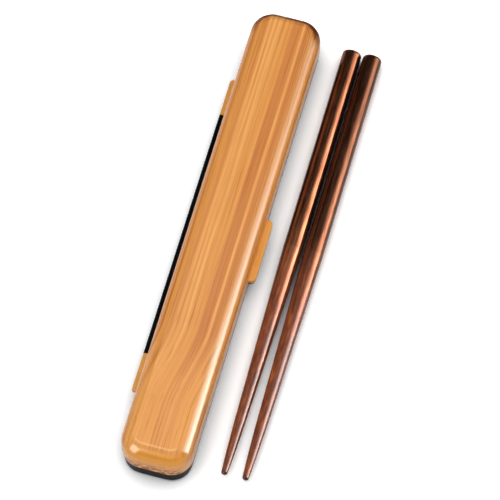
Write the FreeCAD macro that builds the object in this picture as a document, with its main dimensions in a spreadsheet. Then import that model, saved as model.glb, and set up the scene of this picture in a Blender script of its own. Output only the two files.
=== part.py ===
import FreeCAD, Part
import math
import os
import Sketcher
from FreeCAD import Placement, Rotation, Vector

# Portable chopstick case with its pair of chopsticks.
# X runs across the case, hinge on the -X side and thumb tab on the +X side.
# Y runs along the case, Z is up, and the origin is the middle of the underside.

# Driving sizes, in millimetres, and in degrees for the draft
DRIVING_SIZES = {
    # Lid, outside. The crown cut is how far the flat top dips into the bevel's round
    "case_length": 189.5,
    "case_width": 27.0,
    "corner_radius": 8.5,
    "case_height": 20.0,
    "seam_height": 8.2,
    "bevel_radius": 5.5,
    "crown_cut": 0.12,
    # Walls of both shells
    "lid_wall": 1.8,
    "lid_top": 1.6,
    "tray_floor": 1.6,
    "floor_round": 1.5,
    # Tray, outside. Its sides start inside the lid's and draw in towards the floor
    "tray_inset": 0.25,
    "tray_draft": 3.5,
    "tray_round": 2.0,
    "seam_gap": 0.05,
    # Lap joint between the shells: the tray's lip goes up inside the lid's rabbet
    "rabbet_depth": 0.8,
    "rabbet_height": 1.4,
    "lap_side_gap": 0.15,
    "lap_top_gap": 0.2,
    "snap_length": 20.0,
    "snap_bead": 0.1,
    "snap_height": 0.5,
    "snap_groove": 0.15,
    # Ribs that carry the chopsticks off the tray floor
    "rib_place": 58.0,
    "rib_width": 1.6,
    "rib_height": 1.2,
    "rib_side_gap": 1.4,
    # Hinge: a barrel on the tray runs between two ears on the lid
    "axis_offset": 1.3,
    "knuckle_radius": 1.3,
    "barrel_length": 101.8,
    "knuckle_gap": 0.25,
    "ear_length": 15.5,
    "ear_round": 0.8,
    "notch_gap": 0.2,
    "pin_radius": 0.6,
    "pin_gap": 0.05,
    "pin_reach": 7.5,
    "pin_end_gap": 0.4,
    "pin_recess": 0.3,
    "pin_chamfer": 0.15,
    # Thumb tab
    "tab_length": 26.0,
    "tab_reach": 2.35,
    "tab_radius": 2.0,
    "tab_thickness": 2.0,
    "tab_under_inset": 0.4,
    "tab_under_thickness": 1.8,
    # Chopsticks, round, from the butt at the far end to the tip. The widths are
    # diameters, the ends are distances from the butt, and the flats are the radii of
    # the flat middles of the two ends
    "stick_length": 180.0,
    "butt_width": 7.4,
    "shaft_width": 7.35,
    "lower_width": 4.2,
    "neck_width": 3.3,
    "tip_width": 2.4,
    "shaft_end": 86.0,
    "lower_end": 158.0,
    "neck_end": 171.0,
    "butt_flat": 2.7,
    "tip_flat": 0.3,
    "butt_place": 92.7,
    "left_stick_place": 25.05,
    "right_stick_place": 33.05,
}

document = FreeCAD.newDocument("chopstick_case")
sheet = document.addObject("Spreadsheet::Sheet", "sizes")
for row, (alias, number) in enumerate(DRIVING_SIZES.items(), start=1):
    sheet.set(f"A{row}", alias)
    sheet.set(f"B{row}", str(number))
    sheet.setAlias(f"B{row}", alias)
document.recompute()


class Size:
    """A number in millimetres or degrees, with the sheet formula that gives it."""

    def __init__(self, value, formula):
        self.value = value
        self.formula = formula

    def join(self, other, sign, value, turned=False):
        other_formula = other.formula if isinstance(other, Size) else str(other)
        pair = [self.formula, other_formula]
        if turned:
            pair.reverse()
        return Size(value, f"({pair[0]} {sign} {pair[1]})")

    def __add__(self, other):
        return self.join(other, "+", self.value + plain(other))

    def __sub__(self, other):
        return self.join(other, "-", self.value - plain(other))

    def __mul__(self, other):
        return self.join(other, "*", self.value * plain(other))

    def __truediv__(self, other):
        return self.join(other, "/", self.value / plain(other))

    def __rmul__(self, other):
        return self.join(other, "*", other * self.value, turned=True)

    def __rsub__(self, other):
        return self.join(other, "-", other - self.value, turned=True)

    def __neg__(self):
        return 0 - self


def plain(number):
    """The plain number of a size, or the number itself."""
    return number.value if isinstance(number, Size) else number


def size(alias):
    """A driving size, read back from the sheet."""
    return Size(float(sheet.get(alias)), f"<<sizes>>.{alias}")


case_length = size("case_length")
case_width = size("case_width")
corner_radius = size("corner_radius")
case_height = size("case_height")
seam_height = size("seam_height")
lid_wall = size("lid_wall")
knuckle_radius = size("knuckle_radius")
barrel_length = size("barrel_length")
ear_length = size("ear_length")
knuckle_gap = size("knuckle_gap")
pin_radius = size("pin_radius")
tab_length = size("tab_length")
tab_radius = size("tab_radius")

# Two places closer than this, in millimetres, are the same place
SAME_PLACE = 0.01

# The hinge axis runs along Y beside the lid wall, level with the seam
axis_place = -(case_width / 2 + size("axis_offset"))
ear_start = barrel_length / 2 + knuckle_gap
lap_inset = size("rabbet_depth") + size("lap_side_gap")
lip_height = size("rabbet_height") - size("lap_top_gap")
rim_height = seam_height - size("seam_gap")
tab_edge = case_width / 2 + size("tab_reach")

# What stands out from a shell starts inside the shell's wall
lid_root = case_width / 2 - lid_wall / 4
tray_root = case_width / 2 - lid_wall / 2

# The snap's bead and groove share one middle height, and the bead is half as high
snap_middle = seam_height + size("snap_height")
bead_height = size("snap_height") / 2


def new_body(name):
    """A body whose label becomes the name of its file."""
    body = document.addObject("PartDesign::Body", name)
    body.Label = name
    return body


def origin_plane(body, role):
    """One of the body's own three planes."""
    return next(plane for plane in body.Origin.OriginFeatures if plane.Role == role)


def new_sketch(body, name, role, offset):
    """A sketch on one of the body's planes, moved along its normal."""
    sketch = body.newObject("Sketcher::SketchObject", name)
    sketch.AttachmentSupport = [(origin_plane(body, role), "")]
    sketch.MapMode = "FlatFace"
    sketch.AttachmentOffset = Placement(Vector(0, 0, plain(offset)), Rotation())
    if isinstance(offset, Size):
        sketch.setExpression(".AttachmentOffset.Base.z", offset.formula)
    return sketch


def dimension(sketch, constraint, amount):
    """Adds one measured constraint and ties it to the sheet."""
    index = sketch.addConstraint(constraint)
    if isinstance(amount, Size):
        sketch.setExpression(f"Constraints[{index}]", amount.formula)


def rounded_rectangle(sketch, width, height, radius):
    """A rectangle with round corners, centred on the sketch's origin."""
    half_width, half_height, round_by = plain(width) / 2, plain(height) / 2, plain(radius)
    arcs, lines = [], []
    for quarter, (side, end) in enumerate([(1, 1), (-1, 1), (-1, -1), (1, -1)]):
        corner = Vector(side * (half_width - round_by), end * (half_height - round_by), 0)
        arcs.append(quarter_arc(sketch, corner, round_by, quarter * math.pi / 2))
    for quarter in range(4):
        first = sketch.getPoint(arcs[quarter], 2)
        last = sketch.getPoint(arcs[(quarter + 1) % 4], 1)
        lines.append(sketch.addGeometry(Part.LineSegment(first, last), False))
    for quarter, kind in enumerate(("Horizontal", "Vertical") * 2):
        following = arcs[(quarter + 1) % 4]
        sketch.addConstraint(Sketcher.Constraint("Tangent", arcs[quarter], 2, lines[quarter], 1))
        sketch.addConstraint(Sketcher.Constraint("Tangent", lines[quarter], 2, following, 1))
        sketch.addConstraint(Sketcher.Constraint(kind, lines[quarter]))
    for arc in arcs[1:]:
        sketch.addConstraint(Sketcher.Constraint("Equal", arcs[0], arc))
    sketch.addConstraint(Sketcher.Constraint("Symmetric", arcs[0], 3, arcs[2], 3, -1, 1))
    dimension(sketch, Sketcher.Constraint("Radius", arcs[0], round_by), radius)
    across = Sketcher.Constraint("Distance", lines[1], 1, lines[3], 2 * half_width)
    dimension(sketch, across, width)
    along = Sketcher.Constraint("Distance", lines[0], 1, lines[2], 2 * half_height)
    dimension(sketch, along, height)


def quarter_arc(sketch, centre, radius, start):
    """A quarter of a circle, from the start angle onwards."""
    whole = Part.Circle(centre, Vector(0, 0, 1), radius)
    return sketch.addGeometry(Part.ArcOfCircle(whole, start, start + math.pi / 2), False)


def rectangle(sketch, left, right, low, high):
    """A plain rectangle between four places in the sketch."""
    corners = [(left, low), (right, low), (right, high), (left, high)]
    points = [Vector(plain(x), plain(y), 0) for x, y in corners]
    lines = []
    for first, last in zip(points, points[1:] + points[:1]):
        lines.append(sketch.addGeometry(Part.LineSegment(first, last), False))
    for index in range(4):
        following = lines[(index + 1) % 4]
        sketch.addConstraint(Sketcher.Constraint("Coincident", lines[index], 2, following, 1))
        kind = "Horizontal" if index % 2 == 0 else "Vertical"
        sketch.addConstraint(Sketcher.Constraint(kind, lines[index]))
    place_point(sketch, lines[0], 1, left, low)
    place_point(sketch, lines[2], 1, right, high)


def place_point(sketch, geometry, end, x, y):
    """Fixes one point of the sketch at x, y."""
    for kind, amount, axis in (("DistanceX", x, -2), ("DistanceY", y, -1)):
        if plain(amount) == 0:
            sketch.addConstraint(Sketcher.Constraint("PointOnObject", geometry, end, axis))
        else:
            pull = Sketcher.Constraint(kind, -1, 1, geometry, end, plain(amount))
            dimension(sketch, pull, amount)


def circle(sketch, x, y, radius):
    """A circle about x, y of the sketch."""
    shape = Part.Circle(Vector(plain(x), plain(y), 0), Vector(0, 0, 1), plain(radius))
    index = sketch.addGeometry(shape, False)
    place_point(sketch, index, 3, x, y)
    dimension(sketch, Sketcher.Constraint("Radius", index, plain(radius)), radius)


def settle(feature):
    """Recomputes, and stops with the feature's name if it failed."""
    document.recompute()
    failed = "Invalid" in feature.State or "Error" in feature.State
    if failed or feature.Shape.isNull() or not feature.Shape.isValid():
        raise ValueError(f"{feature.Name} failed: {feature.State}")
    return feature


def pad(body, name, sketch, length, reverse=False, draft=None, both_ways=False):
    """Adds the sketch's outline as a solid, drawn in by a draft angle if one is given."""
    feature = body.newObject("PartDesign::Pad", name)
    return extrude(feature, sketch, length, reverse, draft, both_ways)


def pocket(body, name, sketch, length, reverse=False, draft=None, both_ways=False):
    """Cuts the sketch's outline out of the body, and makes sure that it did."""
    before = body.Tip.Shape.Volume
    feature = body.newObject("PartDesign::Pocket", name)
    extrude(feature, sketch, length, reverse, draft, both_ways)
    if feature.Shape.Volume >= before:
        raise ValueError(f"{name} cuts nothing")
    return feature


def extrude(feature, sketch, length, reverse, draft, both_ways):
    """The settings that a pad and a pocket share."""
    settle(sketch)
    feature.Profile = sketch
    feature.Length = plain(length)
    feature.setExpression("Length", length.formula)
    feature.Reversed = reverse
    if both_ways:
        feature.SideType = "Symmetric"
    if draft is not None:
        feature.TaperAngle = plain(draft)
        feature.setExpression("TaperAngle", draft.formula)
    return settle(feature)


def mirror_along(body, name, features):
    """Repeats features at the other end of the case."""
    mirrored = body.newObject("PartDesign::Mirrored", name)
    mirrored.Originals = features
    mirrored.MirrorPlane = (origin_plane(body, "XZ_Plane"), [""])
    body.Tip = mirrored
    return settle(mirrored)


def round_edges(body, name, radius, chosen):
    """Rounds the edges of the body's last shape that the test picks out."""
    last = body.Tip
    names = []
    for number, edge in enumerate(last.Shape.Edges, start=1):
        if chosen(edge.BoundBox):
            names.append(f"Edge{number}")
    fillet = body.newObject("PartDesign::Fillet", name)
    fillet.Base = (last, names)
    fillet.Radius = plain(radius)
    fillet.setExpression("Radius", radius.formula)
    return settle(fillet)


def same(first, second):
    """Whether two places are the same one."""
    return abs(first - second) < SAME_PLACE


def level(height):
    """A test for edges that lie flat at a height."""
    place = plain(height)
    return lambda box: same(box.ZMin, place) and same(box.ZMax, place)


def make_lid():
    """The upper shell: rounded top, hollow inside, with the hinge ears and the thumb tab."""
    lid = new_body("lid")
    peak = case_height + size("crown_cut")

    outline = new_sketch(lid, "lid_outline", "XY_Plane", seam_height)
    rounded_rectangle(outline, case_width, case_length, corner_radius)
    pad(lid, "lid_block", outline, peak - seam_height)
    round_edges(lid, "lid_bevel", size("bevel_radius"), level(peak))

    plateau = new_sketch(lid, "lid_plateau", "XY_Plane", case_height)
    rectangle(plateau, -case_width, case_width, -case_length, case_length)
    pocket(lid, "lid_flat", plateau, size("bevel_radius"), reverse=True)

    cavity = new_sketch(lid, "lid_cavity_outline", "XY_Plane", seam_height)
    inner_width = case_width - 2 * lid_wall
    inner_length = case_length - 2 * lid_wall
    rounded_rectangle(cavity, inner_width, inner_length, corner_radius - lid_wall)
    ceiling = case_height - size("lid_top")
    pocket(lid, "lid_cavity", cavity, ceiling - seam_height, reverse=True)
    round_edges(lid, "lid_ceiling_round", size("bevel_radius") - lid_wall, level(ceiling))

    rabbet_depth = size("rabbet_depth")
    rabbet = new_sketch(lid, "lid_rabbet_outline", "XY_Plane", seam_height)
    rabbet_width = case_width - 2 * rabbet_depth
    rabbet_length = case_length - 2 * rabbet_depth
    rounded_rectangle(rabbet, rabbet_width, rabbet_length, corner_radius - rabbet_depth)
    pocket(lid, "lid_rabbet", rabbet, size("rabbet_height"), reverse=True)

    notch = new_sketch(lid, "lid_notch_outline", "XZ_Plane", 0)
    circle(notch, axis_place, seam_height, knuckle_radius + size("notch_gap"))
    pocket(lid, "lid_notch", notch, 2 * ear_start, both_ways=True)

    ear = new_sketch(lid, "ear_outline", "XZ_Plane", ear_start)
    circle(ear, axis_place, seam_height, knuckle_radius)
    ear_knuckle = pad(lid, "ear_knuckle", ear, ear_length)
    web = new_sketch(lid, "ear_web_outline", "XZ_Plane", ear_start)
    rectangle(web, axis_place, -lid_root, seam_height, seam_height + knuckle_radius)
    ear_web = pad(lid, "ear_web", web, ear_length)
    mirror_along(lid, "ear_pair", [ear_knuckle, ear_web])
    ear_end = plain(ear_start + ear_length)
    wall_side = -plain(case_width) / 2

    def ear_end_edge(box):
        at_end = same(box.YMin, box.YMax) and same(abs(box.YMin), ear_end)
        outside = box.XMin < wall_side - SAME_PLACE and box.XMax < wall_side + SAME_PLACE
        return at_end and outside

    round_edges(lid, "ear_ends", size("ear_round"), ear_end_edge)

    bore = new_sketch(lid, "pin_bore_outline", "XZ_Plane", 0)
    circle(bore, axis_place, seam_height, pin_radius)
    pocket(lid, "pin_bores", bore, 2 * (ear_start + ear_length), both_ways=True)

    tab = new_sketch(lid, "tab_outline", "XY_Plane", seam_height)
    tab_shape(tab, lid_root, tab_edge, tab_length)
    pad(lid, "thumb_tab", tab, size("tab_thickness"))

    groove = new_sketch(lid, "snap_groove_outline", "YZ_Plane", case_width / 2 - rabbet_depth)
    half_snap = size("snap_length") / 2
    groove_low = snap_middle - size("snap_height") / 2
    rectangle(groove, -half_snap, half_snap, groove_low, groove_low + size("snap_height"))
    pocket(lid, "snap_groove", groove, size("snap_groove"), reverse=True)
    return lid


def tab_shape(sketch, root, edge, length):
    """A tab that stands out towards +X from its root, with two round outer corners."""
    reach = plain(edge) - plain(root)
    half, radius = plain(length) / 2, plain(tab_radius)
    low = Vector(plain(root), -half, 0)
    high = Vector(plain(root), half, 0)
    inner = plain(edge) - radius
    top = sketch.addGeometry(Part.LineSegment(high, Vector(inner, half, 0)), False)
    side_top = Vector(plain(edge), half - radius, 0)
    side_low = Vector(plain(edge), radius - half, 0)
    side = sketch.addGeometry(Part.LineSegment(side_top, side_low), False)
    base = sketch.addGeometry(Part.LineSegment(Vector(inner, -half, 0), low), False)
    back = sketch.addGeometry(Part.LineSegment(low, high), False)
    arc_high = quarter_arc(sketch, Vector(inner, half - radius, 0), radius, 0)
    arc_low = quarter_arc(sketch, Vector(inner, radius - half, 0), radius, -math.pi / 2)
    for first, first_end, second, second_end in (
        (top, 2, arc_high, 2),
        (arc_high, 1, side, 1),
        (side, 2, arc_low, 2),
        (arc_low, 1, base, 1),
    ):
        sketch.addConstraint(Sketcher.Constraint("Tangent", first, first_end, second, second_end))
    sketch.addConstraint(Sketcher.Constraint("Coincident", base, 2, back, 1))
    sketch.addConstraint(Sketcher.Constraint("Coincident", back, 2, top, 1))
    sketch.addConstraint(Sketcher.Constraint("Vertical", side))
    sketch.addConstraint(Sketcher.Constraint("Horizontal", top))
    sketch.addConstraint(Sketcher.Constraint("Horizontal", base))
    sketch.addConstraint(Sketcher.Constraint("Equal", arc_high, arc_low))
    sketch.addConstraint(Sketcher.Constraint("Symmetric", back, 1, back, 2, -1))
    dimension(sketch, Sketcher.Constraint("Radius", arc_high, radius), tab_radius)
    dimension(sketch, Sketcher.Constraint("Distance", back, 2 * half), length)
    dimension(sketch, Sketcher.Constraint("DistanceX", -1, 1, back, 1, plain(root)), root)
    dimension(sketch, Sketcher.Constraint("DistanceX", back, 1, side, 1, reach), edge - root)


def make_tray():
    """The lower shell: drafted sides, the lap lip, the hinge barrel and the tab under the lid's."""
    tray = new_body("tray")
    inset = size("tray_inset")
    draft = size("tray_draft")

    outline = new_sketch(tray, "tray_outline", "XY_Plane", rim_height)
    outer_width = case_width - 2 * inset
    outer_length = case_length - 2 * inset
    rounded_rectangle(outline, outer_width, outer_length, corner_radius - inset)
    pad(tray, "tray_block", outline, rim_height, reverse=True, draft=-draft)
    round_edges(tray, "tray_bottom_round", size("tray_round"), level(0))

    lip = new_sketch(tray, "lip_outline", "XY_Plane", rim_height)
    lip_width = case_width - 2 * lap_inset
    lip_length = case_length - 2 * lap_inset
    rounded_rectangle(lip, lip_width, lip_length, corner_radius - lap_inset)
    lip_top = seam_height + lip_height
    pad(tray, "lap_lip", lip, lip_top - rim_height)

    cavity = new_sketch(tray, "tray_cavity_outline", "XY_Plane", lip_top)
    inner_width = case_width - 2 * lid_wall
    inner_length = case_length - 2 * lid_wall
    rounded_rectangle(cavity, inner_width, inner_length, corner_radius - lid_wall)
    floor_height = size("tray_floor")
    pocket(tray, "tray_cavity", cavity, lip_top - floor_height, draft=-draft)
    round_edges(tray, "tray_floor_round", size("floor_round"), level(floor_height))

    rib = new_sketch(tray, "rib_outline", "XY_Plane", floor_height / 2)
    half_rib = case_width / 2 - lid_wall - size("rib_side_gap")
    rib_near = size("rib_place") - size("rib_width") / 2
    rectangle(rib, -half_rib, half_rib, rib_near, rib_near + size("rib_width"))
    rib_pad = pad(tray, "rib", rib, floor_height / 2 + size("rib_height"))
    mirror_along(tray, "rib_pair", [rib_pad])

    barrel = new_sketch(tray, "barrel_outline", "XZ_Plane", 0)
    circle(barrel, axis_place, seam_height, knuckle_radius)
    pad(tray, "barrel", barrel, barrel_length, both_ways=True)
    web = new_sketch(tray, "barrel_web_outline", "XZ_Plane", 0)
    rectangle(web, axis_place, -tray_root, seam_height - knuckle_radius, rim_height)
    pad(tray, "barrel_web", web, barrel_length, both_ways=True)

    bore = new_sketch(tray, "barrel_bore_outline", "XZ_Plane", -barrel_length / 2)
    circle(bore, axis_place, seam_height, pin_radius + size("pin_gap"))
    bore_far = pocket(tray, "barrel_bore", bore, size("pin_reach") + size("pin_end_gap"), reverse=True)
    mirror_along(tray, "barrel_bores", [bore_far])

    tab = new_sketch(tray, "tray_tab_outline", "XY_Plane", rim_height)
    tab_inset = size("tab_under_inset")
    tab_shape(tab, tray_root, tab_edge - tab_inset, tab_length - 2 * tab_inset)
    pad(tray, "tray_tab", tab, size("tab_under_thickness"), reverse=True)

    bead = new_sketch(tray, "snap_bead_outline", "YZ_Plane", case_width / 2 - lap_inset)
    half_snap = size("snap_length") / 2 - size("lap_side_gap")
    bead_low = snap_middle - bead_height / 2
    rectangle(bead, -half_snap, half_snap, bead_low, bead_low + bead_height)
    pad(tray, "snap_bead", bead, size("snap_bead"))
    return tray


def make_pin(name, end):
    """A steel pin, pressed in the lid's ear and running in the barrel's bore."""
    pin = new_body(name)
    sketch = new_sketch(pin, f"{name}_outline", "XY_Plane", 0)
    circle(sketch, 0, 0, pin_radius)
    length = size("pin_reach") + knuckle_gap + ear_length - size("pin_recess")
    rod = pad(pin, f"{name}_rod", sketch, length)
    rims = []
    for number, edge in enumerate(rod.Shape.Edges, start=1):
        if same(edge.BoundBox.ZMin, edge.BoundBox.ZMax):
            rims.append(f"Edge{number}")
    chamfer = pin.newObject("PartDesign::Chamfer", f"{name}_ends")
    chamfer.Base = (rod, rims)
    chamfer.setExpression("Size", size("pin_chamfer").formula)
    settle(chamfer)
    inner_end = barrel_length / 2 - size("pin_reach")
    turn = Rotation(Vector(1, 0, 0), -90 * end)
    pin.Placement = Placement(Vector(0, 0, 0), turn)
    pin.setExpression(".Placement.Base.x", axis_place.formula)
    pin.setExpression(".Placement.Base.y", (end * inner_end).formula)
    pin.setExpression(".Placement.Base.z", seam_height.formula)
    document.recompute()
    return pin


def chain(sketch, places):
    """Straight lines from place to place, each place fixed."""
    points = [Vector(plain(x), plain(y), 0) for x, y in places]
    lines = []
    for first, last in zip(points, points[1:]):
        lines.append(sketch.addGeometry(Part.LineSegment(first, last), False))
    for before, after in zip(lines, lines[1:]):
        sketch.addConstraint(Sketcher.Constraint("Coincident", before, 2, after, 1))
    for line, (x, y) in zip(lines, places):
        place_point(sketch, line, 1, x, y)
    place_point(sketch, lines[-1], 2, *places[-1])
    return lines


def round_corner(sketch, flat, level_place, radius, start, line_before, line_after):
    """Joins two lines by a quarter circle of the given radius."""
    arc = quarter_arc(sketch, Vector(plain(flat), plain(level_place), 0), plain(radius), start)
    sketch.addConstraint(Sketcher.Constraint("Coincident", line_before, 2, arc, 1))
    sketch.addConstraint(Sketcher.Constraint("Coincident", arc, 2, line_after, 1))
    dimension(sketch, Sketcher.Constraint("Radius", arc, plain(radius)), radius)


def make_chopstick(name, place):
    """A round tapered stick, turned on a lathe and lying with its butt at the far end."""
    stick = new_body(name)
    length = size("stick_length")
    butt_flat, tip_flat = size("butt_flat"), size("tip_flat")
    butt_round = size("butt_width") / 2 - butt_flat
    tip_round = size("tip_width") / 2 - tip_flat

    outline = new_sketch(stick, f"{name}_outline", "XZ_Plane", 0)
    side = [
        (size("butt_width") / 2, butt_round),
        (size("shaft_width") / 2, size("shaft_end")),
        (size("lower_width") / 2, size("lower_end")),
        (size("neck_width") / 2, size("neck_end")),
        (size("tip_width") / 2, length - tip_round),
    ]
    side_lines = chain(outline, side)
    core_lines = chain(outline, [(tip_flat, length), (0, length), (0, 0), (butt_flat, 0)])
    first_line, last_line = side_lines[0], side_lines[-1]
    round_corner(outline, butt_flat, butt_round, butt_round, -math.pi / 2, core_lines[-1], first_line)
    round_corner(outline, tip_flat, length - tip_round, tip_round, 0, last_line, core_lines[0])
    settle(outline)
    turned = stick.newObject("PartDesign::Revolution", f"{name}_turned")
    turned.Profile = outline
    turned.ReferenceAxis = (outline, ["V_Axis"])
    turned.Angle = 360
    settle(turned)

    stick.Placement = Placement(Vector(0, 0, 0), Rotation(Vector(1, 0, 0), 90))
    document.recompute()
    lowest = stick.Shape.optimalBoundingBox(False).ZMin
    stick.setExpression(".Placement.Base.x", place.formula)
    stick.setExpression(".Placement.Base.y", size("butt_place").formula)
    stick.Placement.Base.z = -lowest
    document.recompute()
    return stick


PIECES = [
    make_lid(),
    make_tray(),
    make_pin("hinge_pin_far", 1),
    make_pin("hinge_pin_near", -1),
    make_chopstick("chopstick_left", size("left_stick_place")),
    make_chopstick("chopstick_right", size("right_stick_place")),
]
document.recompute()

for item in document.Objects:
    if "Invalid" in item.State or "Error" in item.State:
        raise ValueError(f"{item.Name} failed: {item.State}")
os.makedirs("parts", exist_ok=True)
for piece in PIECES:
    shape = piece.Shape
    if shape.isNull() or not shape.isValid() or len(shape.Solids) != 1:
        raise ValueError(f"{piece.Label} has no sound solid")
    shape.exportStep(f"parts/{piece.Label}.step")
    box = shape.optimalBoundingBox(False)
    corners = [round(c, 3) for c in (box.XMin, box.YMin, box.ZMin, box.XMax, box.YMax, box.ZMax)]
    print(piece.Label, round(shape.Volume, 2), corners)
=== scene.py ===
# %% [markdown]
# # A portable chopstick case, and its pair of sticks
#
# This lesson dresses a finished case: a long lid with a glossy wood-grain print, a
# black tray hinged under it on two steel pins, and two lacquered wooden sticks.
# The shapes come from the packed model, which we load first and never move. Our
# work is the finish of each surface, the light, and the camera.

# %% Load the packed model
import math

import bpy
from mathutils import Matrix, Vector

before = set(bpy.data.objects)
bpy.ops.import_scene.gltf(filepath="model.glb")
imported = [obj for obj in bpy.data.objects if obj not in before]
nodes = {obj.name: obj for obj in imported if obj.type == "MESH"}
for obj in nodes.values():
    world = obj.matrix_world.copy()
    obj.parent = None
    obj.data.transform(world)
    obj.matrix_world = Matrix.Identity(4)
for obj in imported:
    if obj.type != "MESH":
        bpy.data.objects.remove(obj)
bpy.context.view_layer.update()
print("pieces:", ", ".join(sorted(nodes)))

# %% [markdown]
# ## The camera
#
# The picture was taken from far off with a long lens, so the case looks almost
# drawn in parallel. A camera could be dragged into place by eye, but then nobody
# can say where it stands. We place it by what a photographer would note down: the
# point it looks at, its turn round the object, its height as an angle, its
# distance, and how many pixels one metre covers at one metre away. The lamps are
# aimed in the same way, so the two helpers come first.

# %% Point a camera or a lamp


def direction(turn, rise):
    """The way from the object to something at a turn round it and a rise above it."""
    level = math.cos(rise)
    return Vector((math.sin(turn) * level, -math.cos(turn) * level, math.sin(rise)))


def aim(thing, place, target):
    """Puts a camera or a lamp at a place, and turns it to a target."""
    thing.location = place
    thing.rotation_euler = (target - place).to_track_quat("-Z", "Y").to_euler()


def rounded(parts):
    """Numbers that are short enough to print."""
    return [round(part, 3) for part in parts]


print("straight in front of the case is the way", rounded(direction(0.0, 0.0)))

# %% Place the camera
PICTURE_WIDTH = 500
SENSOR_WIDTH = 36.0
camera_turn = math.radians(15.74)
camera_rise = math.radians(65.0)
camera_distance = 1.46627
look_at = Vector((0.0093, 0.0038, 0.0))
pixels_at_one_metre = 3909.88
nearest_seen, farthest_seen = 0.05, 50.0

camera_data = bpy.data.cameras.new("camera")
camera_data.sensor_width = SENSOR_WIDTH
camera_data.lens = SENSOR_WIDTH * pixels_at_one_metre / PICTURE_WIDTH
camera_data.clip_start = nearest_seen
camera_data.clip_end = farthest_seen
camera = bpy.data.objects.new("camera", camera_data)
bpy.context.scene.collection.objects.link(camera)
bpy.context.scene.camera = camera
aim(camera, look_at + camera_distance * direction(camera_turn, camera_rise), look_at)
print("camera at", rounded(camera.location), "with a lens of", round(camera_data.lens, 1))

# %% [markdown]
# ## Writing materials
#
# Colours could be picked on Blender's wheel, but a reader can't check those. We
# write them the way a paint chip is written, from 0 to 255, and turn them into the
# linear light that the renderer adds up.

# %% Colours as they are seen
# The screen's curve is a straight line in the darks and a power above them.
LINE_END, LINE_SLOPE = 0.04045, 12.92
CURVE_SHIFT, CURVE_POWER = 0.055, 2.4


def seen(red, green, blue):
    """A colour as a screen shows it, 0 to 255, as linear light."""
    light = []
    for share in (red / 255, green / 255, blue / 255):
        if share <= LINE_END:
            light.append(share / LINE_SLOPE)
        else:
            light.append(((share + CURVE_SHIFT) / (1.0 + CURVE_SHIFT)) ** CURVE_POWER)
    return (*light, 1.0)


def grey(level):
    """A grey of this much linear light."""
    return (level, level, level, 1.0)


print("a mid grey, 128, is this much light:", round(seen(128, 128, 128)[0], 3))

# %% [markdown]
# A material is a small graph of nodes. Wiring one by hand takes three or four
# lines a node, and the idea drowns in them. So we make one helper that adds a
# node, sets it, wires what goes in and hands back what comes out. A recipe then
# reads like arithmetic.

# %% Add nodes and wire them


class Graph:
    """The nodes of one material, lamp or world, and short calls to add them."""

    def __init__(self, owner):
        owner.use_nodes = True
        self.owner = owner
        self.tree = owner.node_tree
        self.shader = self.tree.nodes.get("Principled BSDF")

    def feed(self, socket, value):
        """Wires an output to a socket, or sets a plain value on it."""
        if isinstance(value, bpy.types.NodeSocket):
            self.tree.links.new(value, socket)
        else:
            socket.default_value = value

    def add(self, kind, inputs=(), **settings):
        """A new node of a kind, with its settings and its inputs by name or number."""
        node = self.tree.nodes.new(kind)
        for name, value in settings.items():
            setattr(node, name, value)
        for name, value in dict(inputs).items():
            self.feed(node.inputs[name], value)
        return node

    def sum(self, operation, *values):
        """One step of arithmetic on numbers."""
        node = self.add("ShaderNodeMath", enumerate(values), operation=operation)
        return node.outputs[0]

    def product(self, first, *others):
        """Several numbers, multiplied in turn."""
        for other in others:
            first = self.sum("MULTIPLY", first, other)
        return first

    def past(self, value, start):
        """How far a value has gone past a start, and 0 before it."""
        return self.sum("MAXIMUM", self.sum("SUBTRACT", value, start), 0.0)

    def vector(self, operation, *values):
        """One step of arithmetic on vectors."""
        node = self.add("ShaderNodeVectorMath", enumerate(values), operation=operation)
        return node.outputs["Value" if operation == "LENGTH" else "Vector"]

    def parts(self, vector):
        """The three numbers in a vector: across, along and up."""
        return self.add("ShaderNodeSeparateXYZ", {0: vector}).outputs

    def joined(self, *parts):
        """A vector made of up to three numbers."""
        return self.add("ShaderNodeCombineXYZ", enumerate(parts)).outputs[0]


print("a graph can:", [name for name in vars(Graph) if not name.startswith("_")])

# %% [markdown]
# On top of that come the few steps that every finish here is made of. Apart from
# the edge of the print, nothing on the case starts or ends with a hard line, so
# `ease` turns a place into a share from 0 to 1 with soft ends. `clouds` is noise
# with the size of its patches in millimetres, which is how a maker would measure
# grain, and the rest lay colours over each other and dent the surface.

# %% The steps of a finish
MILLIMETRES = (1000.0, 1000.0, 1000.0)


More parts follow.
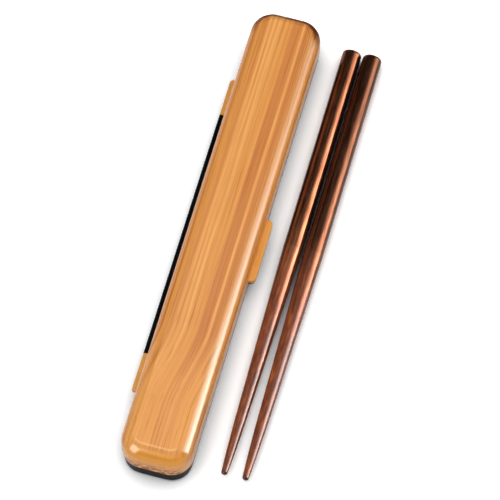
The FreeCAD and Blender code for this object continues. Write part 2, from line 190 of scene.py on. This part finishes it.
class Recipe(Graph):
    """A graph with the steps that a finish is made of."""

    def place(self):
        """The place on the piece, in millimetres."""
        here = self.add("ShaderNodeTexCoord").outputs["Object"]
        return self.vector("MULTIPLY", here, MILLIMETRES)

    def ease(self, value, start, end, low=0.0, high=1.0):
        """Goes softly from low to high as the value goes from start to end."""
        names = ("Value", "From Min", "From Max", "To Min", "To Max")
        inputs = dict(zip(names, (value, start, end, low, high)))
        node = self.add("ShaderNodeMapRange", inputs, interpolation_type="SMOOTHSTEP")
        return node.outputs[0]

    def clouds(self, place, size, detail=3.0, roughness=0.5):
        """Soft noise from 0 to 1, with a patch size in millimetres for each axis."""
        inputs = {"Vector": self.vector("DIVIDE", place, size), "Scale": 1.0}
        inputs.update({"Detail": detail, "Roughness": roughness})
        return self.add("ShaderNodeTexNoise", inputs).outputs["Fac"]

    def between(self, share, first, second):
        """A number that goes from the first to the second with the share."""
        return self.add("ShaderNodeMix", {0: share, 2: first, 3: second}).outputs[0]

    def blend(self, share, first, second, how="MIX"):
        """The first colour, with a share of the second laid over it."""
        # A mix node keeps its two colours at 6 and 7, and what comes out at 2.
        inputs = {0: share, 6: first, 7: second}
        node = self.add("ShaderNodeMix", inputs, data_type="RGBA", blend_type=how)
        return node.outputs[2]

    def ramp(self, value, stops):
        """A colour for each value, from stops of a place from 0 to 1 and a colour."""
        node = self.add("ShaderNodeValToRGB", {0: value})
        elements = node.color_ramp.elements
        for place, colour in stops[1:-1]:
            elements.new(place).color = colour
        ends = ((elements[0], stops[0]), (elements[-1], stops[-1]))
        for element, (place, colour) in ends:
            element.position = place
            element.color = colour
        return node.outputs["Color"]

    def bump(self, height, depth, before=None):
        """A surface that rises and falls by a height, to a depth in millimetres."""
        inputs = {"Height": height, "Distance": depth / 1000, "Strength": 1.0}
        if before is not None:
            inputs["Normal"] = before
        return self.add("ShaderNodeBump", inputs).outputs["Normal"]

    def finish(self, **sockets):
        """Feeds the shader's own sockets, and hands the material back."""
        for name, value in sockets.items():
            self.feed(self.shader.inputs[name.replace("_", " ")], value)
        return self.owner


print("a recipe adds:", [name for name in vars(Recipe) if not name.startswith("_")])

# %% Start a material, and put it on a piece
# Most of the noise lies between these two values.
NOISE_LOW, NOISE_HIGH = 0.3, 0.7


def new_material(name):
    """A recipe for a new material of this name."""
    return Recipe(bpy.data.materials.new(name))


def wear(piece, material):
    """Gives every material slot of a piece this material."""
    for material_slot in piece.material_slots:
        material_slot.link = "OBJECT"
        material_slot.material = material
    print(piece.name, "wears", material.name)


slots = {name: len(piece.material_slots) for name, piece in nodes.items()}
print("material slots to fill:", slots)

# %% [markdown]
# ## The lid
#
# The lid is moulded in a tan plastic, and its outside carries a wood-grain print
# under a clear gloss. The two hinge ears, the thumb tab and the inside are bare
# plastic. We could pick the printed faces one by one and give them a material of
# their own, but the pick would be lost when the model is packed anew. One material
# can do both, if it knows where it is: we measure how deep a place lies inside the
# lid's outline, and the print covers the outside skin only.

# %% The lid's outline
half_width = 13.5
half_length = 94.75
corner_radius = 8.5
crown = 20.12
bevel_radius = 5.5
skin = 0.55
skin_slack = 0.04


def printed_skin(recipe, place, height):
    """1 on the lid's outside skin, and how far out on its bevel a place is."""
    corner = (half_width - corner_radius, half_length - corner_radius, 0.0)
    away = recipe.vector("SUBTRACT", recipe.vector("ABSOLUTE", place), corner)
    away = recipe.vector("MAXIMUM", away, (0.0, 0.0, 0.0))
    away = recipe.vector("LENGTH", recipe.vector("MULTIPLY", away, (1.0, 1.0, 0.0)))
    outward = recipe.past(away, corner_radius - bevel_radius)
    upward = recipe.past(height, crown - bevel_radius)
    reach = recipe.vector("LENGTH", recipe.joined(outward, upward))
    under_skin = recipe.sum("GREATER_THAN", reach, bevel_radius - skin)
    within = recipe.sum("LESS_THAN", reach, bevel_radius + skin_slack)
    return recipe.product(under_skin, within), outward


print("the lid is", 2 * half_width, "by", 2 * half_length, "mm, with its top at", crown)

# %% [markdown]
# The print is straight-grained wood: narrow bands along the length, a broad
# reddish one right of the middle, and near the front end the grain swings to the
# hinge side. The dark orange band at the edge by the hinge is painted shade, a
# dark line where that edge turns away from the light. Noise alone gives wood of
# some kind, but never these bands. A drawn image would, but it needs unwrapping
# and blurs close up. So we lay the bands out across the lid once, as stops of a
# colour ramp, and bend the place that reads the ramp instead of drawing bent lines.

# %% Bend the grain
bend_start, bend_end = -40.0, -74.0
bend_width = 4.4
wander_size = (9.0, 60.0, 9.0)
wander_width = 0.5


def across_the_grain(recipe, place, across, along):
    """Where a place lies across the grain, which swings and wanders a little."""
    bend = recipe.ease(along, bend_start, bend_end, 0.0, bend_width)
    wander = recipe.clouds(place, wander_size, detail=1.0)
    wander = recipe.product(recipe.sum("SUBTRACT", wander, 0.5), wander_width)
    return recipe.sum("ADD", recipe.sum("ADD", across, bend), wander)


print("the grain swings", bend_width, "mm over", bend_start - bend_end, "mm of length")

# %% The bands of the print
straw = seen(250, 181, 103)
honey = seen(239, 166, 87)
amber = seen(227, 152, 77)
russet = seen(213, 135, 70)
# Painted shade: the dark orange line along the edge by the hinge, laid in among the
# print's bands.
edge_shade_orange = seen(202, 116, 42)
gold = seen(242, 158, 62)
even_honey = seen(241, 168, 91)
BANDS = [
    (-14.0, amber), (-12.2, amber), (-11.5, edge_shade_orange), (-10.7, honey),
    (-9.7, honey), (-8.8, amber), (-7.9, russet), (-7.2, amber), (-6.4, straw),
    (-5.6, amber), (-4.8, straw), (-4.0, amber), (-3.1, straw), (-1.6, amber),
    (-0.7, honey), (0.4, amber), (1.6, honey), (2.5, russet), (5.6, russet),
    (6.4, straw), (7.3, russet), (8.4, russet), (9.4, amber), (10.2, honey),
    (11.0, amber), (12.0, honey), (13.0, gold), (15.0, gold), (18.2, russet),
]
even_start, even_end = -38.0, -72.0
even_share = 0.6


def band_colour(recipe, across_grain, along):
    """The colour of the bands, which even out towards the near end."""
    first, last = BANDS[0][0], BANDS[-1][0]
    share = recipe.sum("SUBTRACT", across_grain, first)
    share = recipe.sum("DIVIDE", share, last - first)
    stops = [((place - first) / (last - first), tone) for place, tone in BANDS]
    even = recipe.ease(along, even_start, even_end, 0.0, even_share)
    return recipe.blend(even, recipe.ramp(share, stops), even_honey)


print(len(BANDS), "stops of colour, from", BANDS[0][0], "to", BANDS[-1][0], "mm")

# %% [markdown]
# Over the bands run lines less than half a millimetre wide, and short dark flecks
# that get stronger towards the near end. Drawn one by one they would take days, and
# nobody could tell them from chance. So both are noise, stretched far along the
# grain and read at the bent place, so that they swing with the bands.

# %% Fine lines and flecks
line_size = (0.42, 55.0, 4.0)
line_tones = [
    (0.3, seen(204, 178, 154)), (0.5, seen(250, 248, 246)), (0.68, seen(255, 255, 255)),
]
line_share = 0.85
fleck_size = (0.32, 15.0, 4.0)
fleck_from, fleck_to = 0.63, 0.72
fleck_brown = seen(150, 74, 36)
few_flecks, many_flecks = 0.2, 0.65
many_start, many_end = -20.0, -55.0


def wood_print(recipe, place, across, along, height):
    """The colour of the printed wood, and its fine lines by themselves."""
    across_grain = across_the_grain(recipe, place, across, along)
    colour = band_colour(recipe, across_grain, along)
    grain = recipe.joined(across_grain, along, height)

    lines = recipe.clouds(grain, line_size, detail=4.0, roughness=0.65)
    shades = recipe.ramp(lines, line_tones)
    colour = recipe.blend(line_share, colour, shades, "MULTIPLY")

    fleck = recipe.clouds(grain, fleck_size, detail=2.0, roughness=0.4)
    fleck = recipe.ease(fleck, fleck_from, fleck_to)
    share = recipe.ease(along, many_start, many_end, few_flecks, many_flecks)
    colour = recipe.blend(recipe.product(fleck, share), colour, fleck_brown)
    return colour, lines


print("lines", line_size[0], "mm wide, flecks", fleck_size[0], "mm wide")

# %% [markdown]
# Towards its ends the lid's colour changes. Along the far edge, where the steep
# bevel turns away from the lamps, painted shade darkens it to brown, and a rough
# orange-brown mottle sits just above the near rim. The near bevel is yellower, and
# a painted highlight runs as a pale line where the flat top turns down to it. A
# painted mask would hold all four, but each is simple to say: it lies so far along
# the lid, so far out on the bevel, or so high. So each is made of soft steps
# multiplied together, and noise breaks up the far shade and the near mottle.

# %% The painted shade at the far edge, and the near burn
# Each span goes from where a darkening begins to where it is full, in millimetres.
far_shade_brown = seen(100, 44, 16)
burnt_orange = seen(160, 80, 28)
burn_size = (2.0, 2.0, 1.1)
far_shade_along = (82.0, 90.5)
far_shade_outward = (2.0, 3.5)
far_shade_height = (13.0, 16.5)
far_shade_cloud = (0.36, 0.52, 0.7, 1.0)
near_burn_along = (-91.5, -94.0)
near_burn_height = (15.5, 9.0)
near_burn_cloud = (0.40, 0.54)


def far_shade_and_near_burn(recipe, place, along, height, outward):
    """How much painted shade darkens the far edge, and how far the print darkens above
    the near rim.
    """
    cloud = recipe.clouds(place, burn_size, detail=4.0)
    # Painted shade on the far bevel, which faces away from the lamps.
    far = recipe.product(
        recipe.ease(along, *far_shade_along),
        recipe.ease(outward, *far_shade_outward),
        recipe.ease(height, *far_shade_height),
        recipe.ease(cloud, *far_shade_cloud),
    )
    near = recipe.product(
        recipe.ease(along, *near_burn_along),
        recipe.ease(height, *near_burn_height),
        recipe.ease(cloud, *near_burn_cloud),
    )
    return far, near


# The far burn printed here is the far edge's painted shade.
print("the far burn is full from", far_shade_along[1], "mm on")

# %% The near bevel, and the painted highlight on its crease
bevel_yellow = seen(246, 166, 64)
yellow_along = (-89.5, -93.0)
yellow_share = 0.8
# A painted highlight: the pale line where the flat top turns down to the near bevel.
crease_highlight_cream = seen(255, 212, 152)
crease_begins = (0.0, 0.35)
crease_ends = (1.0, 0.45)
crease_along = (-88.0, -89.3)
crease_share = 0.45


def near_bevel(recipe, colour, along, outward):
    """The print's colour with the yellow near bevel and a painted highlight on the crease
    above it.
    """
    yellow = recipe.ease(along, *yellow_along, 0.0, yellow_share)
    colour = recipe.blend(yellow, colour, bevel_yellow)
    # The painted highlight along the crease.
    crease = recipe.product(
        recipe.ease(outward, *crease_begins),
        recipe.ease(outward, *crease_ends),
        recipe.ease(along, *crease_along, 0.0, crease_share),
    )
    return recipe.blend(crease, colour, crease_highlight_cream)


print("the crease is", crease_ends[0] - crease_begins[0], "mm wide at the most")

# %% [markdown]
# Over the colour lies the gloss. A printed shell is never quite smooth: the clear
# coat has a faint orange peel, the printed lines stand out a little, and handling
# smears it. The bare plastic is duller, so the roughness goes from matt to gloss
# with the same share that tells print from plastic, and rises at the worn rim.
# Where the far edge carries its painted shade, the print shines less.

# %% Make the lid's material
bare_size = (7.0, 18.0, 7.0)
bare_tan = [(NOISE_LOW, seen(222, 155, 66)), (NOISE_HIGH, seen(232, 168, 78))]
smear_size = (4.0, 9.0, 4.0)
gloss_roughness = (0.13, 0.19)
matt_roughness = (0.30, 0.40)
rim_height = (8.6, 7.0)
rim_roughness = 0.12
peel_size = (0.9, 1.6, 0.9)
peel_depth = 0.006
line_depth = 0.002
clear_coat_ior = 1.4
full_shine = 0.5


def make_lid_material():
    """Printed and glossy outside, bare tan plastic elsewhere."""
    recipe = new_material("lid_print")
    place = recipe.place()
    across, along, height = recipe.parts(place)
    skin_share, outward = printed_skin(recipe, place, height)

    printed, lines = wood_print(recipe, place, across, along, height)
    printed = near_bevel(recipe, printed, along, outward)
    far_shade, near_burn = far_shade_and_near_burn(recipe, place, along, height, outward)
    # Painted shade darkens the far edge.
    printed = recipe.blend(far_shade, printed, far_shade_brown)
    printed = recipe.blend(near_burn, printed, burnt_orange)
    bare = recipe.ramp(recipe.clouds(place, bare_size, detail=2.0), bare_tan)
    colour = recipe.blend(skin_share, bare, printed)

    smear = recipe.clouds(place, smear_size, detail=4.0)
    gloss = recipe.ease(smear, NOISE_LOW, NOISE_HIGH, *gloss_roughness)
    matt = recipe.ease(smear, NOISE_LOW, NOISE_HIGH, *matt_roughness)
    rim = recipe.ease(height, *rim_height, 0.0, rim_roughness)
    rough = recipe.sum("ADD", recipe.between(skin_share, matt, gloss), rim)

    peel = recipe.clouds(place, peel_size, detail=1.0)
    normal = recipe.bump(peel, peel_depth, recipe.bump(lines, line_depth))
    shine = recipe.product(recipe.sum("SUBTRACT", 1.0, far_shade), full_shine)
    return recipe.finish(
        Base_Color=colour, Roughness=rough, Normal=normal,
        IOR=clear_coat_ior, Specular_IOR_Level=shine,
    )


wear(nodes["lid"], make_lid_material())

# %% [markdown]
# ## The tray
#
# The lower shell is plain black plastic with a polished outside. A pure black
# would swallow every shape, so the black is a very dark, slightly cool grey, its
# gloss carries fine scuffs, as a lunch bag gives it, and its foot is rubbed paler.
# Real plastic bends light by about 1.5. Beside a white floor that lays a grey veil
# over the walls, which the real tray doesn't show, so we bend it by 1.1 only.

# %% Make the tray's material
black_size = (6.0, 20.0, 6.0)
tray_blacks = [(NOISE_LOW, seen(5, 5, 6)), (NOISE_HIGH, seen(13, 14, 16))]
foot_grey = seen(34, 35, 38)
foot_height = (1.0, 0.1)
foot_share = 0.5
scuff_size = (0.6, 7.0, 0.8)
scuff_span = (0.35, 0.75)
scuff_roughness = (0.20, 0.36)
scuff_depth = 0.002
tray_ior = 1.1


def make_tray_material():
    """Glossy black plastic with faint scuffs and a rubbed foot."""
    recipe = new_material("tray_black")
    place = recipe.place()
    height = recipe.parts(place)[2]
    colour = recipe.ramp(recipe.clouds(place, black_size, detail=2.0), tray_blacks)
    foot = recipe.ease(height, *foot_height, 0.0, foot_share)
    colour = recipe.blend(foot, colour, foot_grey)
    scuff = recipe.clouds(place, scuff_size, detail=5.0, roughness=0.6)
    rough = recipe.ease(scuff, *scuff_span, *scuff_roughness)
    normal = recipe.bump(scuff, scuff_depth)
    return recipe.finish(Base_Color=colour, Roughness=rough, Normal=normal, IOR=tray_ior)


wear(nodes["tray"], make_tray_material())

# %% [markdown]
# ## The hinge pins
#
# The two pins hide in the ears and the barrel, and only their ends show. They are
# drawn steel wire. An even grey metal would do from afar, but the drawing leaves
# fine lines along the pin, so the noise is stretched along the length.

# %% Make the steel
wire_line_size = (0.08, 3.0, 0.08)
steel_greys = [(NOISE_LOW, seen(168, 168, 170)), (NOISE_HIGH, seen(205, 205, 206))]
wire_roughness = (0.24, 0.38)
wire_line_depth = 0.002


def make_steel():
    """Drawn steel wire."""
    recipe = new_material("pin_steel_wire")
    lines = recipe.clouds(recipe.place(), wire_line_size, detail=3.0)
    colour = recipe.ramp(lines, steel_greys)
    rough = recipe.ease(lines, NOISE_LOW, NOISE_HIGH, *wire_roughness)
    normal = recipe.bump(lines, wire_line_depth)
    return recipe.finish(Base_Color=colour, Roughness=rough, Normal=normal, Metallic=1.0)


steel = make_steel()
for name in ("hinge_pin_far", "hinge_pin_near"):
    wear(nodes[name], steel)

# %% [markdown]
# ## The chopsticks
#
# The sticks are round, turned in dark wood under a brown lacquer. On the handle
# half the lacquer throws a copper highlight. A clear coat over brown would shine
# too, but in white. A metallic shader tints its reflections, so the handle half is
# set as a metal of the lacquer's colour. Towards the tip the metal eases off to
# almost nothing, and what shows is brown, mottled wood with darker streaks. The
# last few millimetres are dark. The left stick shines more than the right one, so
# each has a sheen and a gloss of its own.

# %% Make the lacquered wood
streak_size = (0.5, 9.0, 0.5)
streak_depth = 0.006
coppers = [(0.34, seen(100, 56, 38)), (0.5, seen(128, 78, 55)), (0.66, seen(146, 92, 66))]
mottle_size = (0.9, 6.0, 0.9)
browns = [(0.34, seen(100, 48, 25)), (0.54, seen(138, 70, 36)), (0.72, seen(178, 94, 42))]
streak_brown = seen(66, 32, 18)
streak_fade = (0.4, 0.6, 0.45, 0.0)
lower_half = (22.0, -34.0)
handle_metal, tip_metal = 0.96, 0.04
dark_tip = seen(64, 30, 20)
dark_tip_along = (-85.2, -86.8)
gloss_spread = 0.08
lacquer_ior = 1.37


def make_stick_material(name, sheen, gloss):
    """Dark lacquer with a copper sheen on the handle half, browner towards the tip."""
    recipe = new_material(name)
    place = recipe.place()
    along = recipe.parts(place)[1]
    streak = recipe.clouds(place, streak_size, detail=4.0, roughness=0.6)
    copper = recipe.blend(1.0, recipe.ramp(streak, coppers), sheen, "MULTIPLY")

    brown = recipe.ramp(recipe.clouds(place, mottle_size, detail=4.0), browns)
    brown = recipe.blend(recipe.ease(streak, *streak_fade), brown, streak_brown)
    colour = recipe.blend(recipe.ease(along, *lower_half), copper, brown)
    colour = recipe.blend(recipe.ease(along, *dark_tip_along), colour, dark_tip)

    rough = recipe.ease(streak, NOISE_LOW, NOISE_HIGH, gloss, gloss + gloss_spread)
    normal = recipe.bump(streak, streak_depth)
    metal = recipe.ease(along, *lower_half, handle_metal, tip_metal)
    return recipe.finish(
        Base_Color=colour, Roughness=rough, Normal=normal,
        Metallic=metal, IOR=lacquer_ior,
    )


left_sheen, left_gloss = seen(250, 252, 248), 0.12
right_sheen, right_gloss = seen(182, 188, 192), 0.18
lacquer_left = make_stick_material("lacquer_left", left_sheen, left_gloss)
lacquer_right = make_stick_material("lacquer_right", right_sheen, right_gloss)
wear(nodes["chopstick_left"], lacquer_left)
wear(nodes["chopstick_right"], lacquer_right)

# %% [markdown]
# ## The floor
#
# The object lies on a pale floor in soft light. The floor has to look white and
# still carry the shadow. More light on it would also fall on the case, so part of
# its white is a glow that only the camera and the reflections see, and the rest is
# a plain diffuse that the shadow can darken. Close under the case the shadow is a
# thin dark line, which lamps this soft can't draw. An ambient occlusion node tells
# how open the floor is within a few millimetres, and both parts fade where it is
# shut in. In the gloss of the case the floor would look brighter than white, so
# there it shows dimmer.

# %% Lay the floor
floor_size = 8.0
floor_drop = 0.00002
half_floor = floor_size / 2
corners = [(-half_floor, -half_floor), (half_floor, -half_floor)]
corners += [(half_floor, half_floor), (-half_floor, half_floor)]

floor_mesh = bpy.data.meshes.new("floor")
floor_mesh.from_pydata([(x, y, -floor_drop) for x, y in corners], [], [(0, 1, 2, 3)])
floor = bpy.data.objects.new("floor", floor_mesh)
bpy.context.scene.collection.objects.link(floor)
print("floor", floor_size, "m wide")

# %% Make the floor's white
glow_share = 0.42
glow_opens = (0.35, 1.0)
crevice_reach = 0.012
crevice_greys = [(0.06, seen(60, 60, 60)), (0.32, seen(255, 255, 255))]
mirrored_share = 0.66
bounced_white = grey(0.8)


def make_floor_material():
    """White, and still dark enough in the shadow."""
    recipe = new_material("floor_white")
    path = recipe.add("ShaderNodeLightPath").outputs
    mirrored = recipe.sum("MAXIMUM", path["Is Glossy Ray"], path["Is Transmission Ray"])
    shown_to = recipe.sum("MAXIMUM", path["Is Camera Ray"], mirrored)
    crevice = recipe.add("ShaderNodeAmbientOcclusion", {"Distance": crevice_reach})
    openness = crevice.outputs["AO"]

    white = recipe.ramp(openness, crevice_greys)
    white = recipe.blend(mirrored, white, grey(mirrored_share), "MULTIPLY")
    lit = recipe.add("ShaderNodeBsdfDiffuse", {"Color": white}).outputs[0]
    strength = recipe.ease(openness, *glow_opens, 0.0, glow_share)
    dimmed = recipe.ease(mirrored, 0.0, 1.0, 1.0, mirrored_share)
    strength = recipe.product(strength, dimmed)
    glow = recipe.add("ShaderNodeEmission", {"Strength": strength}).outputs[0]
    shown = recipe.add("ShaderNodeAddShader", {0: lit, 1: glow}).outputs[0]

    plain = recipe.add("ShaderNodeBsdfDiffuse", {"Color": bounced_white}).outputs[0]
    mixed = recipe.add("ShaderNodeMixShader", {0: shown_to, 1: plain, 2: shown})
    surface = recipe.tree.nodes["Material Output"].inputs["Surface"]
    recipe.feed(surface, mixed.outputs[0])
    recipe.tree.nodes.remove(recipe.shader)
    return recipe.owner


floor_mesh.materials.append(make_floor_material())
print("the floor's glow is", glow_share, "of white, and dims within", crevice_reach, "m")

# %% [markdown]
# ## The world
#
# The world is the room round the table. A white room all round would lay a grey
# veil over everything that is glossy, and a black one would leave the upright
# walls of the case with nothing to mirror. So its light is a ramp over the height
# of the ray: white at the horizon, and dim overhead, where the lamps take over.

# %% The world
SKY = [(0.0, 1.0), (0.10, 0.22), (0.35, 0.05)]
world = bpy.data.worlds.new("studio")
bpy.context.scene.world = world
sky = Recipe(world)
ray_height = sky.parts(sky.add("ShaderNodeTexCoord").outputs["Generated"])[2]
sky_colour = sky.ramp(ray_height, [(height, grey(level)) for height, level in SKY])
sky.feed(sky.tree.nodes["Background"].inputs["Color"], sky_colour)
print("world: white at the horizon,", SKY[-1][1], "of white overhead")

# %% [markdown]
# ## The lamps
#
# Every lamp is a soft box, a glowing rectangle, as in a photographer's studio.
# Blender asks for its power in watts, but what we see in the gloss is how bright
# its face is. So one helper takes that glow and works out the watts.

# %% A soft box
WATTS_FOR_A_GLOW_OF_ONE = 4.0


def soft_box(name, place, toward, wide, tall, glow):
    """A lamp at a place that shines one way, as bright as a surface of this glow."""
    data = bpy.data.lights.new(name, "AREA")
    data.shape = "RECTANGLE"
    data.size = wide
    data.size_y = tall
    data.energy = WATTS_FOR_A_GLOW_OF_ONE * glow * wide * tall
    lamp = bpy.data.objects.new(name, data)
    bpy.context.scene.collection.objects.link(lamp)
    aim(lamp, place, place + toward)
    print(name, "is", round(wide, 3), "by", round(tall, 3), "m, with a glow of", glow)
    return lamp


print("a glow of 1 takes", WATTS_FOR_A_GLOW_OF_ONE, "watts a square metre")

# %% [markdown]
# The long streak on the lid's right bevel is the reflection of a tall strip light
# on the right. It shows only in the gloss: the even light on the colours comes
# from the soft boxes overhead, which is easier to set by itself.

# %% The strip light
strip_distance = 0.55
strip_tilt = math.radians(36.9)
strip_near, strip_far = -0.10, 0.42
strip_low, strip_high = -0.405, 0.40
strip_glow = 18.0

strip_out = Vector((math.cos(strip_tilt), 0.0, math.sin(strip_tilt)))
strip_up = Vector((-math.sin(strip_tilt), 0.0, math.cos(strip_tilt)))
strip_length = strip_far - strip_near
strip_height = strip_high - strip_low
strip_middle = (strip_high + strip_low) / 2 * strip_up
strip_middle += Vector((0.0, (strip_near + strip_far) / 2, 0.0))

strip_place = strip_distance * strip_out + strip_middle
strip = soft_box("strip", strip_place, -strip_out, strip_length, strip_height, strip_glow)
strip.visible_diffuse = False

# %% [markdown]
# The streak is white near the front and fades towards the far end, so the strip
# can't be evenly bright. Two strips of different power would leave a step in it.
# We let one strip's glow fall off over its own surface coordinates instead: along
# it, past the place where it is full, and upwards, so that the streak's upper edge
# on the bevel is soft.

# %% Let the strip fade
strip_full_to = 0.168
strip_fade_by = 0.091
strip_least = 0.15
strip_top_share = 0.15
full_fades_up = (0.22, 0.92)
faint_fades_up = (0.3, 0.8)

glow = Recipe(strip.data)
on_strip = glow.parts(glow.add("ShaderNodeNewGeometry").outputs["Parametric"])
past_full = glow.sum("SUBTRACT", on_strip[0], (strip_full_to - strip_near) / strip_length)
along_fade = glow.sum("DIVIDE", past_full, -strip_fade_by / strip_length)
along_fade = glow.sum("MINIMUM", glow.sum("EXPONENT", along_fade), 1.0)
along_fade = glow.product(along_fade, 1.0 - strip_least)
full_part = glow.ease(on_strip[1], *full_fades_up, 1.0, 0.0)
faint_top = strip_least * strip_top_share
faint_part = glow.ease(on_strip[1], *faint_fades_up, strip_least, faint_top)
strength = glow.sum("ADD", glow.product(along_fade, full_part), faint_part)
glow.feed(glow.tree.nodes["Emission"].inputs["Strength"], strength)
halved_by = round(strip_fade_by * math.log(2), 3)
print("the strip is full to", strip_full_to, "m, then halved every", halved_by, "m")

# %% [markdown]
# Three soft boxes do the rest. A wide panel overhead lights the colours, and its
# far edge ends where the reflection in the flat top turns from light to dark, half
# way along the case. A second one, the fill, lifts the level without showing in
# the gloss. The round glint on the near left corner is a tall box at the front
# left, and it is kept out of the colours, as the strip is.

# %% The other lamps
down = Vector((0.0, 0.0, -1.0))
ceiling = 1.2
panel_size, panel_glow = 2.0, 0.9
panel_far_edge = 0.53
fill_size, fill_glow = 1.4, 3.5
glint_turn = math.radians(-36.0)
glint_rise = math.radians(28.0)
glint_distance = 0.60
glint_wide, glint_tall, glint_glow = 0.34, 0.56, 9.0
near_left_corner = Vector((-0.007, -0.093, 0.018))

panel_place = Vector((0.0, panel_far_edge - panel_size / 2, ceiling))
soft_box("panel", panel_place, down, panel_size, panel_size, panel_glow)

fill_place = Vector((0.0, 0.0, ceiling))
fill = soft_box("fill", fill_place, down, fill_size, fill_size, fill_glow)
fill.visible_glossy = False

glint_way = direction(glint_turn, glint_rise)
glint_place = near_left_corner + glint_distance * glint_way
glint = soft_box(
    "corner_glint", glint_place, -glint_way, glint_wide, glint_tall, glint_glow
)
glint.visible_diffuse = False

# %% [markdown]
# ## Last steps
#
# The picture is shown with the plain view transform, so a colour comes out as
# it was written.

# %% The view transform
bpy.context.scene.view_settings.view_transform = "Standard"
